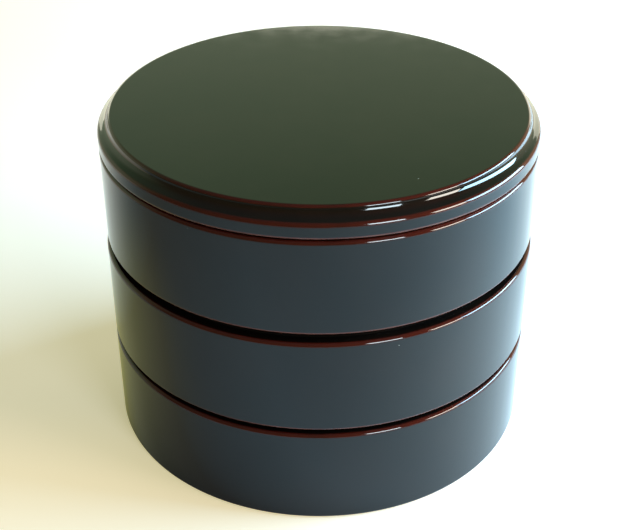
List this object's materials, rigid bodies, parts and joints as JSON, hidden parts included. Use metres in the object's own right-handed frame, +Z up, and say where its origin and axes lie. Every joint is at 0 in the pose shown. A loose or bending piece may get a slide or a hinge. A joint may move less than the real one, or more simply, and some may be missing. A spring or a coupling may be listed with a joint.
{
  "type": "stacking lunch box",
  "caption": "Round lacquered stacking food box: open tiers seated on one another by raised inner lips, closed by a flush lid with a raised flat panel.",
  "frame": {"origin": "on the axis of the stack, at the level of the surface that the bottom tier stands on", "axes": "+Z up along the axis of the stack, towards the lid; X and Y are free, because every piece is round"},
  "size_m": [0.1824, 0.1824, 0.1439],
  "materials": {
    "outer_lacquer": "polished translucent brown-black lacquer over wood, red-brown at thin edges",
    "inner_lacquer": "polished black lacquer over wood"
  },
  "bodies": {
    "bottom_tier": {"bottom_tier_wall_hoop": "outer_lacquer", "bottom_tier_lip_hoop": "inner_lacquer", "bottom_tier_base_board": "inner_lacquer", "bottom_tier_seat_hoop": "inner_lacquer"},
    "middle_tier": {"middle_tier_wall_hoop": "outer_lacquer", "middle_tier_lip_hoop": "inner_lacquer", "middle_tier_base_board": "inner_lacquer", "middle_tier_seat_hoop": "inner_lacquer"},
    "top_tier": {"top_tier_wall_hoop": "outer_lacquer", "top_tier_lip_hoop": "inner_lacquer", "top_tier_base_board": "inner_lacquer", "top_tier_seat_hoop": "inner_lacquer"},
    "lid": {"lid_top_board": "outer_lacquer", "lid_skirt_hoop": "outer_lacquer", "lid_lining_hoop": "inner_lacquer"}
  },
  "joints": [
    {"name": "middle_tier_lift", "type": "slide", "parent": "bottom_tier", "child": "middle_tier", "axis": [0, 0, 1], "range_m": [0, 0.08]},
    {"name": "top_tier_lift", "type": "slide", "parent": "middle_tier", "child": "top_tier", "axis": [0, 0, 1], "range_m": [0, 0.08]},
    {"name": "lid_lift", "type": "slide", "parent": "top_tier", "child": "lid", "axis": [0, 0, 1], "range_m": [0, 0.08]}
  ]
}
